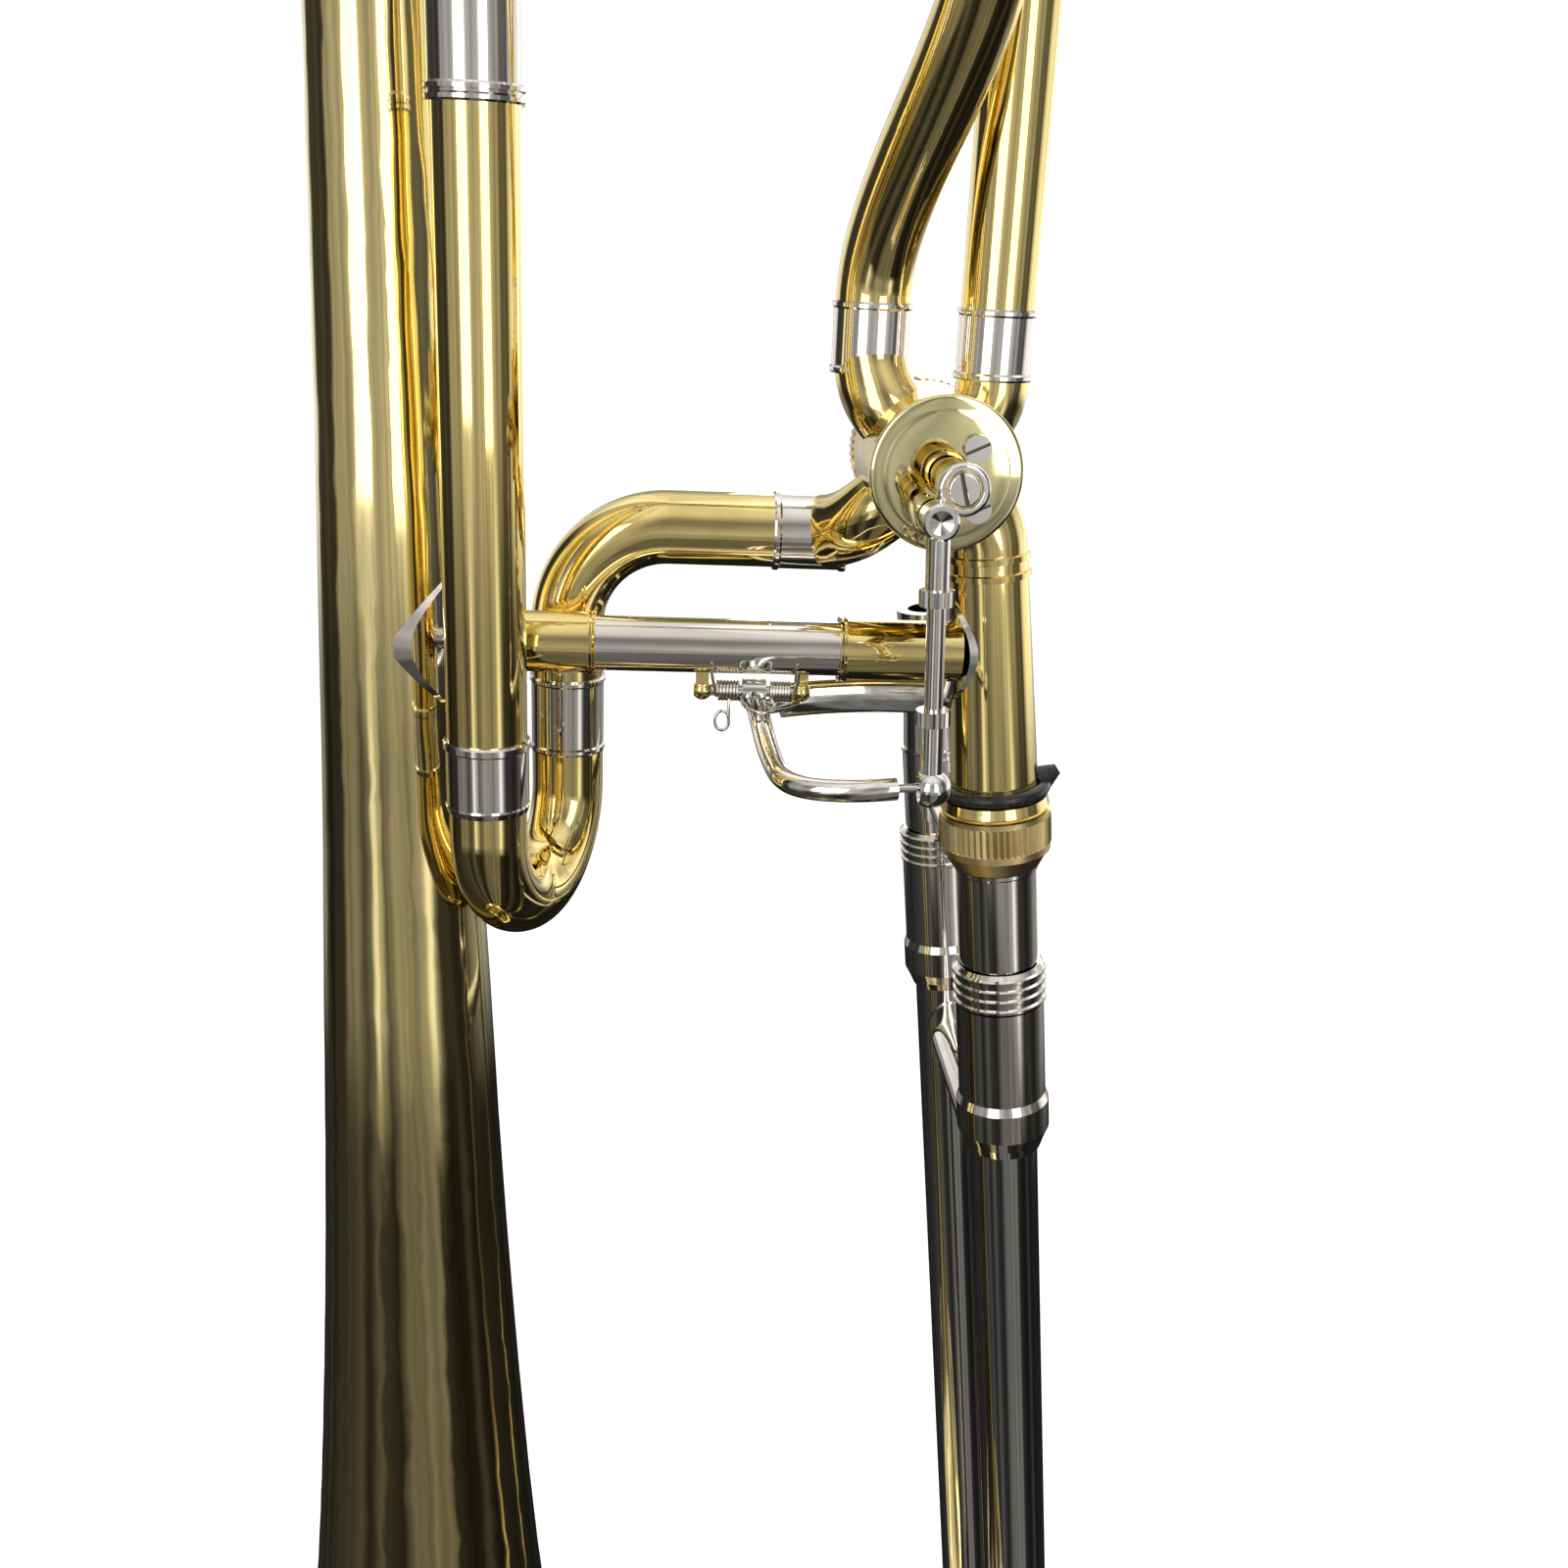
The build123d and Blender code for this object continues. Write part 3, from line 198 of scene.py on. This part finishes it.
def soft_material(name, light, dark, roughness, scale, height):
    """Rubber or cork: two mottled tones with a grainy surface."""
    material = bpy.data.materials.new(name)
    material.use_nodes = True
    tree = material.node_tree
    shader = tree.nodes["Principled BSDF"]
    shader.inputs["Roughness"].default_value = roughness
    where = node(tree, "ShaderNodeTexCoord")
    grain = noise(tree, where.outputs["Object"], scale, 6.0, 0.7)
    tone = node(tree, "ShaderNodeMix", data_type="RGBA")
    tone.inputs["A"].default_value = (*dark, 1.0)
    tone.inputs["B"].default_value = (*light, 1.0)
    tree.links.new(remap(tree, grain, 0.35, 0.65, 0.0, 1.0), tone.inputs["Factor"])
    tree.links.new(tone.outputs["Result"], shader.inputs["Base Color"])
    bump = node(tree, "ShaderNodeBump")
    bump.inputs["Strength"].default_value = 0.5
    bump.inputs["Distance"].default_value = height
    tree.links.new(grain, bump.inputs["Height"])
    tree.links.new(bump.outputs["Normal"], shader.inputs["Normal"])
    return material


# ---------------------------------------------------------------- finishes
BRASS = (0.91, 0.74, 0.31)
DEEP_BRASS = (0.84, 0.64, 0.21)
NICKEL = (0.84, 0.80, 0.74)
DEEP_NICKEL = (0.74, 0.69, 0.62)
brass = metal("lacquered_brass", BRASS, DEEP_BRASS, 0.055, 0.13, coat=0.5)
brass_sideways = metal("lacquered_brass_cross", BRASS, DEEP_BRASS, 0.055, 0.13, coat=0.5, stretch=SIDEWAYS)
brass_bends = metal(
    "lacquered_brass_bends", BRASS, DEEP_BRASS, 0.05, 0.11,
    coat=0.5, stretch=ALL_WAYS, fine=500.0, depth=0.01)
bell_brass = metal("bell_brass", (0.90, 0.76, 0.36), (0.82, 0.66, 0.26), 0.07, 0.15, coat=0.5, depth=0.03)
satin_brass = metal(
    "satin_brass", (0.88, 0.80, 0.46), (0.82, 0.73, 0.38), 0.05, 0.09, depth=0.01, **SMALL_PART)
nut_brass = metal("knurled_brass", (0.97, 0.79, 0.41), (0.88, 0.67, 0.30), 0.3, 0.4, **SMALL_PART)
cap_brass = metal("valve_cap_brass", (0.86, 0.66, 0.24), (0.70, 0.49, 0.14), 0.12, 0.22, **SMALL_PART)
nickel = metal("nickel_silver", NICKEL, DEEP_NICKEL, 0.05, 0.11)
nickel_sideways = metal("nickel_silver_cross", NICKEL, DEEP_NICKEL, 0.05, 0.11, stretch=SIDEWAYS)
small_nickel = metal("nickel_fittings", (0.88, 0.86, 0.82), (0.78, 0.75, 0.70), 0.08, 0.16, **SMALL_PART)
slide_plate = metal("slide_tube_plate", (0.80, 0.78, 0.75), (0.70, 0.68, 0.65), 0.06, 0.14, depth=0.02)
spring_wire = metal("spring_wire", (0.82, 0.80, 0.76), (0.62, 0.60, 0.57), 0.14, 0.25, **SMALL_PART)
rubber = soft_material("black_rubber", (0.022, 0.022, 0.024), (0.008, 0.008, 0.009), 0.26, 900.0, 0.00006)
cork = soft_material("cork", (0.62, 0.43, 0.26), (0.34, 0.21, 0.11), 0.8, 700.0, 0.0003)

FINISHES = {
    brass: ["bell_rim_bead", "main_leg_tube", "f_long_leg", "gooseneck", "slide_receiver"],
    brass_sideways: ["main_brace_sleeves", "lever_saddles"],
    brass_bends: ["f_u_bend", "f_elbow", "f_s_bend", "valve_knuckles", "stop_arm",
                  "tuning_slide_crook", "f_slide_crook", "slide_bow"],
    bell_brass: ["bell"],
    satin_brass: ["valve_front_disc", "bearing_plates", "rotor"],
    nut_brass: ["bell_lock_nut"],
    cap_brass: ["rear_valve_cap", "valve_casing"],
    nickel: ["tuning_slide_outer_legs", "tuning_slide_inner_legs", "tuning_slide_ferrules",
             "f_slide_outer_legs", "f_slide_inner_legs", "f_slide_ferrules", "tube_ferrules", "brace_flanges",
             "cork_barrels", "mouthpiece_receiver", "bow_ferrules", "outer_slide_sleeves", "slide_lock_ring"],
    nickel_sideways: ["main_brace_tube", "upper_braces", "inner_slide_brace", "hand_brace"],
    small_nickel: ["stop_plate_screws", "stop_arm_hub_ring", "spindle_screw", "link_ball",
                   "link_upper_socket", "link_rod", "link_lock_nuts", "link_lower_socket", "lever_hinge_pin",
                   "lever_arm", "thumb_paddle", "bumper_socket", "water_key_seat", "water_key"],
    slide_plate: ["outer_slide_tubes", "inner_slide_tubes"],
    spring_wire: ["lever_spring"],
    rubber: ["rubber_bumper", "slide_bumper"],
    cork: ["water_key_cork"],
}
for material, names in FINISHES.items():
    for name in names:
        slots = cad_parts[name].material_slots
        if not slots:
            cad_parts[name].data.materials.append(material)
        for one in slots:
            one.material = material

# ---------------------------------------------------------------- wire spring of the thumb lever
# its sizes and places are in millimetres
MM = 0.001
HINGE_Y, HINGE_Z = -5.0, 440.4
COIL_R = 1.95
WIRE_R = 0.34
COIL_TURNS = 7
COIL_STEPS = 14        # points in each turn
COIL_START = -2.2      # radians from straight up
EYELET_STEPS = 15
EYELET_AT = (67.0, -8.4, 434.9)
EYELET_WIDE, EYELET_TALL = 1.5, 2.1


def coil_points(x0, x1):
    """Points of a coil round the hinge pin from x0 to x1."""
    made = []
    for step in range(COIL_TURNS * COIL_STEPS + 1):
        along = step / (COIL_TURNS * COIL_STEPS)
        angle = COIL_START + 2 * math.pi * COIL_TURNS * along
        y, z = HINGE_Y + COIL_R * math.sin(angle), HINGE_Z + COIL_R * math.cos(angle)
        made.append((x0 + (x1 - x0) * along, y, z))
    return made


def wire_mesh(name, routes, radius):
    """Round wires along smooth routes, as one mesh at the origin."""
    line = bpy.data.curves.new(name, "CURVE")
    line.dimensions = "3D"
    line.bevel_depth = radius * MM
    line.bevel_resolution = 2
    line.use_fill_caps = True
    for route in routes:
        spline = line.splines.new("NURBS")
        spline.points.add(len(route) - 1)
        for point, place in zip(spline.points, route):
            point.co = (*(value * MM for value in place), 1.0)
        spline.order_u = 3
        spline.use_endpoint_u = True
        spline.resolution_u = 2
    holder = bpy.data.objects.new(name, line)
    mesh = bpy.data.meshes.new_from_object(holder)
    bpy.data.objects.remove(holder)
    mesh.name = name
    made = bpy.data.objects.new(name, mesh)
    bpy.context.collection.objects.link(made)
    for face in mesh.polygons:
        face.use_smooth = True
    return made


eyelet = []
for step in range(EYELET_STEPS):
    angle = math.radians(100 - 29 * step)
    x = EYELET_AT[0] + EYELET_WIDE * math.sin(angle)
    z = EYELET_AT[2] + EYELET_TALL * math.cos(angle)
    eyelet.append((x, EYELET_AT[1] - 0.03 * step, z))
left_leg = [(64.6, -9.9, 445.6), (64.9, -9.4, 443.6), (65.4, -8.4, 441.8)]
bow = [
    (70.9, -8.4, 439.6), (70.7, -11.5, 439.8), (71.4, -15.4, 439.6), (73.6, -17.6, 439.3),
    (75.8, -17.6, 439.2), (77.4, -15.4, 439.4), (77.4, -11.5, 439.6), (77.0, -8.4, 439.6)]
right_leg = [(82.0, -8.3, 441.8), (82.5, -9.4, 443.6), (82.2, -9.9, 445.8)]
left_coil = coil_points(65.9, 70.7)
right_coil = coil_points(77.0, 81.3)
spring = wire_mesh("lever_return_spring", [left_leg + left_coil, right_coil + right_leg], WIRE_R)
loop = wire_mesh("spring_end_loop", [[(68.4, -8.0, 439.4), (68.3, -8.3, 437.6)] + eyelet], WIRE_R)
hook = wire_mesh("spring_bow", [left_coil[-1:] + bow + right_coil[:1]], WIRE_R)
for piece in (spring, loop, hook):
    piece.data.materials.append(spring_wire)
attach(spring, "bell_section")
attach(loop, "bell_section")
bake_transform(hook)
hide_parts("lever_spring")

# ---------------------------------------------------------------- polished front plate of the valve
ROTOR_AT = Vector((0.108, 0.0, 0.488))
PLATE_STEPS = 120


def spun_plate(name, outline):
    """Round plate on the valve axis from (radius, y) points in millimetres, spun about Y."""
    shape = bmesh.new()
    ring = [shape.verts.new((radius * MM, y * MM, 0.0)) for radius, y in outline]
    edges = [shape.edges.new(pair) for pair in zip(ring, ring[1:] + ring[:1])]
    bmesh.ops.spin(
        shape, geom=ring + edges, cent=(0, 0, 0), axis=(0, 1, 0), angle=2 * math.pi,
        steps=PLATE_STEPS, use_merge=True)
    bmesh.ops.remove_doubles(shape, verts=shape.verts, dist=1e-7)
    bmesh.ops.recalc_face_normals(shape, faces=shape.faces)
    bmesh.ops.translate(shape, verts=shape.verts, vec=ROTOR_AT)
    for face in shape.faces:
        face.smooth = True
    mesh = bpy.data.meshes.new(name)
    shape.to_mesh(mesh)
    shape.free()
    made = bpy.data.objects.new(name, mesh)
    bpy.context.collection.objects.link(made)
    return made


# (radius, y): the bore, the flat polished face, a shallow step, and the band that rounds over to the rim
PLATE_LINE = [
    (3.12, -18.0), (3.12, -20.25), (3.3, -20.4), (4.6, -20.4), (7.0, -20.4), (9.6, -20.37), (11.2, -20.33),
    (11.9, -20.27), (12.15, -20.19), (12.4, -20.15), (13.2, -20.12), (14.0, -20.06), (14.4, -19.98),
    (14.7, -19.82), (14.86, -19.55), (14.9, -19.2), (14.9, -18.0)]
plate = spun_plate("valve_front_plate", PLATE_LINE)
plate.data.materials.append(satin_brass)
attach(plate, "bell_section")
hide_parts("valve_front_disc")

# ---------------------------------------------------------------- small fittings with softened rims
# dark metal laid on the floors of slots and gaps: painted shade
slot_shade = metal("painted_slot_shade_metal", (0.16, 0.14, 0.11), (0.08, 0.07, 0.05), 0.35, 0.5, **SMALL_PART)
FLAT_ANGLE = math.radians(1.0)     # faces that meet at less than this become one face
RIM_ANGLE = math.radians(35)       # edges sharper than this are rounded
PAINTED_SHADE_DEPTH = 0.25                # millimetres behind the front, from where a hollow gets painted shade
SMALL_FACE = 2e-7                  # square metres, under which a face is shaded smooth


def softened(part, body, width):
    """A nickel fitting remade with its sharp rims rounded over by width millimetres and painted shade in its
    slot.
    """
    shape = bmesh.new()
    shape.from_mesh(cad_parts[part].data)
    bmesh.ops.transform(shape, matrix=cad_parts[part].matrix_world, verts=shape.verts)
    bmesh.ops.remove_doubles(shape, verts=shape.verts, dist=2e-6)
    bmesh.ops.dissolve_limit(shape, angle_limit=FLAT_ANGLE, verts=shape.verts, edges=shape.edges)
    inner = [edge for edge in shape.edges if len(edge.link_faces) == 2]
    rims = [edge for edge in inner if edge.calc_face_angle() > RIM_ANGLE]
    bmesh.ops.bevel(
        shape, geom=rims, offset=width * MM, segments=2, profile=0.5, affect="EDGES", clamp_overlap=True)
    front = min(vert.co.y for vert in shape.verts)
    for face in shape.faces:
        face.smooth = face.calc_area() < SMALL_FACE
        # front-facing faces deep in slots and gaps get the dark metal: painted shade
        if face.normal.y < -0.8 and face.calc_center_median().y > front + PAINTED_SHADE_DEPTH * MM:
            face.material_index = 1
    mesh = bpy.data.meshes.new(part + "_softened")
    shape.to_mesh(mesh)
    shape.free()
    mesh.materials.append(small_nickel)
    mesh.materials.append(slot_shade)
    made = bpy.data.objects.new(part + "_softened", mesh)
    bpy.context.collection.objects.link(made)
    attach(made, body)
    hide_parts(part)


for part, body, width in (
        ("stop_plate_screws", "bell_section", 0.14), ("stop_arm_hub_ring", "valve_rotor", 0.25),
        ("spindle_screw", "valve_rotor", 0.14)):
    softened(part, body, width)

# ---------------------------------------------------------------- studio
SLIDE_TRAVEL = 0.62
FLOOR_Z = cad_low.z - SLIDE_TRAVEL  # stays under the hand slide when it is pulled right out
MIDDLE_X = 0.06                     # the panels stand round this line
WHITE = (1, 1, 1, 1)
WARM_WHITE = (1.0, 0.985, 0.96, 1)


def plain_material(name, colour, glow):
    """Matt material that glows a little."""
    material = bpy.data.materials.new(name)
    material.use_nodes = True
    shader = material.node_tree.nodes["Principled BSDF"]
    shader.inputs["Base Color"].default_value = (*colour, 1.0)
    shader.inputs["Roughness"].default_value = 0.9
    shader.inputs["Emission Color"].default_value = (*colour, 1.0)
    shader.inputs["Emission Strength"].default_value = glow
    return material


def floor_plane():
    """Pale studio floor, left out of mirror reflections."""
    shape = bmesh.new()
    bmesh.ops.create_grid(shape, x_segments=1, y_segments=1, size=30.0)
    bmesh.ops.translate(shape, verts=shape.verts, vec=(0, 0, FLOOR_Z - 0.0005))
    mesh = bpy.data.meshes.new("studio_floor")
    shape.to_mesh(mesh)
    shape.free()
    made = bpy.data.objects.new("studio_floor", mesh)
    bpy.context.collection.objects.link(made)
    mesh.materials.append(plain_material("pale_floor", (0.93, 0.93, 0.92), 0.55))
    made.visible_glossy = False


def bearing_ramp(tree, bearing, levels):
    """Brightness round the room. Bearings are in degrees from behind the camera, to the right."""
    ramp = node(tree, "ShaderNodeValToRGB")
    ramp.color_ramp.interpolation = "EASE"
    stops = ramp.color_ramp.elements
    for index, (degrees, level) in enumerate(levels):
        place = (degrees + 180.0) / 360.0
        stop = stops[index] if index < 2 else stops.new(place)
        stop.position = place
        shade = level / BRIGHTEST
        stop.color = (shade, shade, shade, 1.0)
    tree.links.new(bearing, ramp.inputs["Fac"])
    return ramp.outputs["Color"]


# (bearing, level) of the walls at eye height, lower down, and near the ground
BRIGHTEST = 2.0
WALLS = (
    (-180, 0.5), (180, 0.5), (-150, 1.0), (-139, 0.9), (-127, 0.05), (-86, 0.05), (-77, 0.38), (-52, 0.33),
    (-44, 0.6), (-14, 0.6), (-6, 0.42), (8, 0.42), (14, 0.6), (38, 0.6), (46, 0.42), (57, 0.36), (67, 0.13),
    (84, 0.09), (93, 0.8), (106, 1.2), (160, 1.2))
MIDDLE = (
    (-180, 0.08), (180, 0.08), (-150, 0.25), (-120, 0.02), (-87, 0.03), (-76, 0.24), (-62, 0.22), (-50, 0.10),
    (-39, 0.14), (-33, 1.0), (-27, 0.4), (-17, 0.18), (-7, 0.3), (8, 0.3), (22, 0.26), (34, 0.34), (42, 0.95),
    (49, 0.4), (57, 0.05), (80, 0.02), (100, 0.05), (120, 0.22), (150, 0.35))
GROUND = (
    (-180, 0.012), (180, 0.012), (-90, 0.03), (-70, 0.07), (-55, 0.03), (-41, 0.10), (-33, 0.03),
    (-17, 0.025), (-9, 0.12), (11, 0.13), (18, 0.21), (27, 0.13), (34, 0.2), (41, 0.02), (66, 0.012),
    (76, 0.035), (90, 0.012))


def studio_air():
    """White backdrop to look at; walls, flags and a dark floor for the metal to mirror."""
    world = bpy.data.worlds.new("studio")
    world.use_nodes = True
    bpy.context.scene.world = world
    tree = world.node_tree
    tree.nodes.clear()
    where = node(tree, "ShaderNodeTexCoord")
    part = node(tree, "ShaderNodeSeparateXYZ")
    tree.links.new(where.outputs["Generated"], part.inputs[0])
    turn = math_node(tree, "ARCTAN2", part.outputs["X"], math_node(tree, "MULTIPLY", part.outputs["Y"], -1.0))
    bearing = math_node(tree, "ADD", math_node(tree, "MULTIPLY", turn, 0.5 / math.pi), 0.5)
    low = node(tree, "ShaderNodeMix", data_type="RGBA")
    tree.links.new(remap(tree, part.outputs["Z"], -0.46, -0.36, 0.0, 1.0), low.inputs["Factor"])
    tree.links.new(bearing_ramp(tree, bearing, GROUND), low.inputs["A"])
    tree.links.new(bearing_ramp(tree, bearing, MIDDLE), low.inputs["B"])
    room = node(tree, "ShaderNodeMix", data_type="RGBA")
    tree.links.new(remap(tree, part.outputs["Z"], -0.26, -0.10, 0.0, 1.0), room.inputs["Factor"])
    tree.links.new(low.outputs["Result"], room.inputs["A"])
    tree.links.new(bearing_ramp(tree, bearing, WALLS), room.inputs["B"])
    folds = node(tree, "ShaderNodeCombineXYZ")
    tree.links.new(math_node(tree, "MULTIPLY", bearing, 26.0), folds.inputs["X"])
    tree.links.new(math_node(tree, "MULTIPLY", part.outputs["Z"], 1.1), folds.inputs["Y"])
    cloth = noise(tree, folds.outputs[0], 1.0, 3.0, 0.6)
    streaks = remap(tree, cloth, 0.3, 0.7, 0.6 * BRIGHTEST, 1.4 * BRIGHTEST)
    ceiling = remap(tree, part.outputs["Z"], 0.45, 0.85, 0.0, 0.5)
    upper_walls = remap(tree, part.outputs["Z"], 0.10, 0.28, 1.0, 0.78)
    walls = math_node(tree, "MULTIPLY", room.outputs["Result"], streaks)
    level = math_node(tree, "ADD", math_node(tree, "MULTIPLY", walls, upper_walls), ceiling)
    seen = node(tree, "ShaderNodeBackground")
    mirrored = node(tree, "ShaderNodeBackground")
    seen.inputs["Color"].default_value = WHITE
    mirrored.inputs["Color"].default_value = WARM_WHITE
    tree.links.new(level, mirrored.inputs["Strength"])
    ray = node(tree, "ShaderNodeLightPath")
    either = node(tree, "ShaderNodeMixShader")
    tree.links.new(ray.outputs["Is Camera Ray"], either.inputs["Fac"])
    tree.links.new(mirrored.outputs[0], either.inputs[1])
    tree.links.new(seen.outputs[0], either.inputs[2])
    out = node(tree, "ShaderNodeOutputWorld")
    tree.links.new(either.outputs[0], out.inputs["Surface"])


def softbox(name, bearing, distance, height, wide, tall, glow):
    """Upright light panel. Bearing is in degrees from straight behind the camera, to the right."""
    lamp = bpy.data.lights.new(name, "AREA")
    lamp.shape = "RECTANGLE"
    lamp.size, lamp.size_y = wide, tall
    lamp.energy = glow * math.pi * wide * tall
    lamp.color = (1.0, 0.985, 0.955)
    made = bpy.data.objects.new(name, lamp)
    bpy.context.collection.objects.link(made)
    turn = math.radians(bearing)
    place = Vector((MIDDLE_X + distance * math.sin(turn), -distance * math.cos(turn), height))
    aim = Vector((MIDDLE_X, 0.0, height)) - place
    made.location = place
    made.rotation_mode = "QUATERNION"
    made.rotation_quaternion = aim.to_track_quat("-Z", "Y")
    made.visible_camera = False


floor_plane()
studio_air()
for name, bearing, distance, height, wide, tall, glow in (
        ("left_front_panel", -31, 1.9, 1.03, 0.86, 1.5, 2.3),
        ("right_front_panel", 25, 2.0, 1.03, 0.74, 1.6, 2.2),
        ("back_panel", 170, 2.0, 0.9, 0.50, 1.5, 1.8)):
    softbox(name, bearing, distance, height, wide, tall, glow)

# ---------------------------------------------------------------- camera
CAMERA_AT = (0.05326, -0.33836, 0.53168)
ROLL, TURN, TILT = 0.017, -0.083, 0.349          # radians
LENS_MM, SENSOR_MM = 38.245, 36.0
SHIFT_X, SHIFT_Y = -0.0048, 0.0278
LEVEL = Matrix(((1, 0, 0), (0, 0, -1), (0, 1, 0)))  # looking along +Y with no tilt
turned = Matrix.Rotation(ROLL, 3, "Z") @ Matrix.Rotation(TURN, 3, "Y") @ Matrix.Rotation(TILT, 3, "X") @ LEVEL
across, down, ahead = turned
lens = bpy.data.cameras.new("camera")
lens.lens = LENS_MM
lens.sensor_width = SENSOR_MM
lens.shift_x = SHIFT_X
lens.shift_y = SHIFT_Y
lens.clip_start = 0.01
lens.clip_end = 100.0
camera = bpy.data.objects.new("camera", lens)
bpy.context.collection.objects.link(camera)
pose = Matrix((across, -down, -ahead)).transposed().to_4x4()
pose.translation = CAMERA_AT
camera.matrix_world = pose
bpy.context.scene.camera = camera
bpy.context.scene.view_settings.view_transform = "Standard"
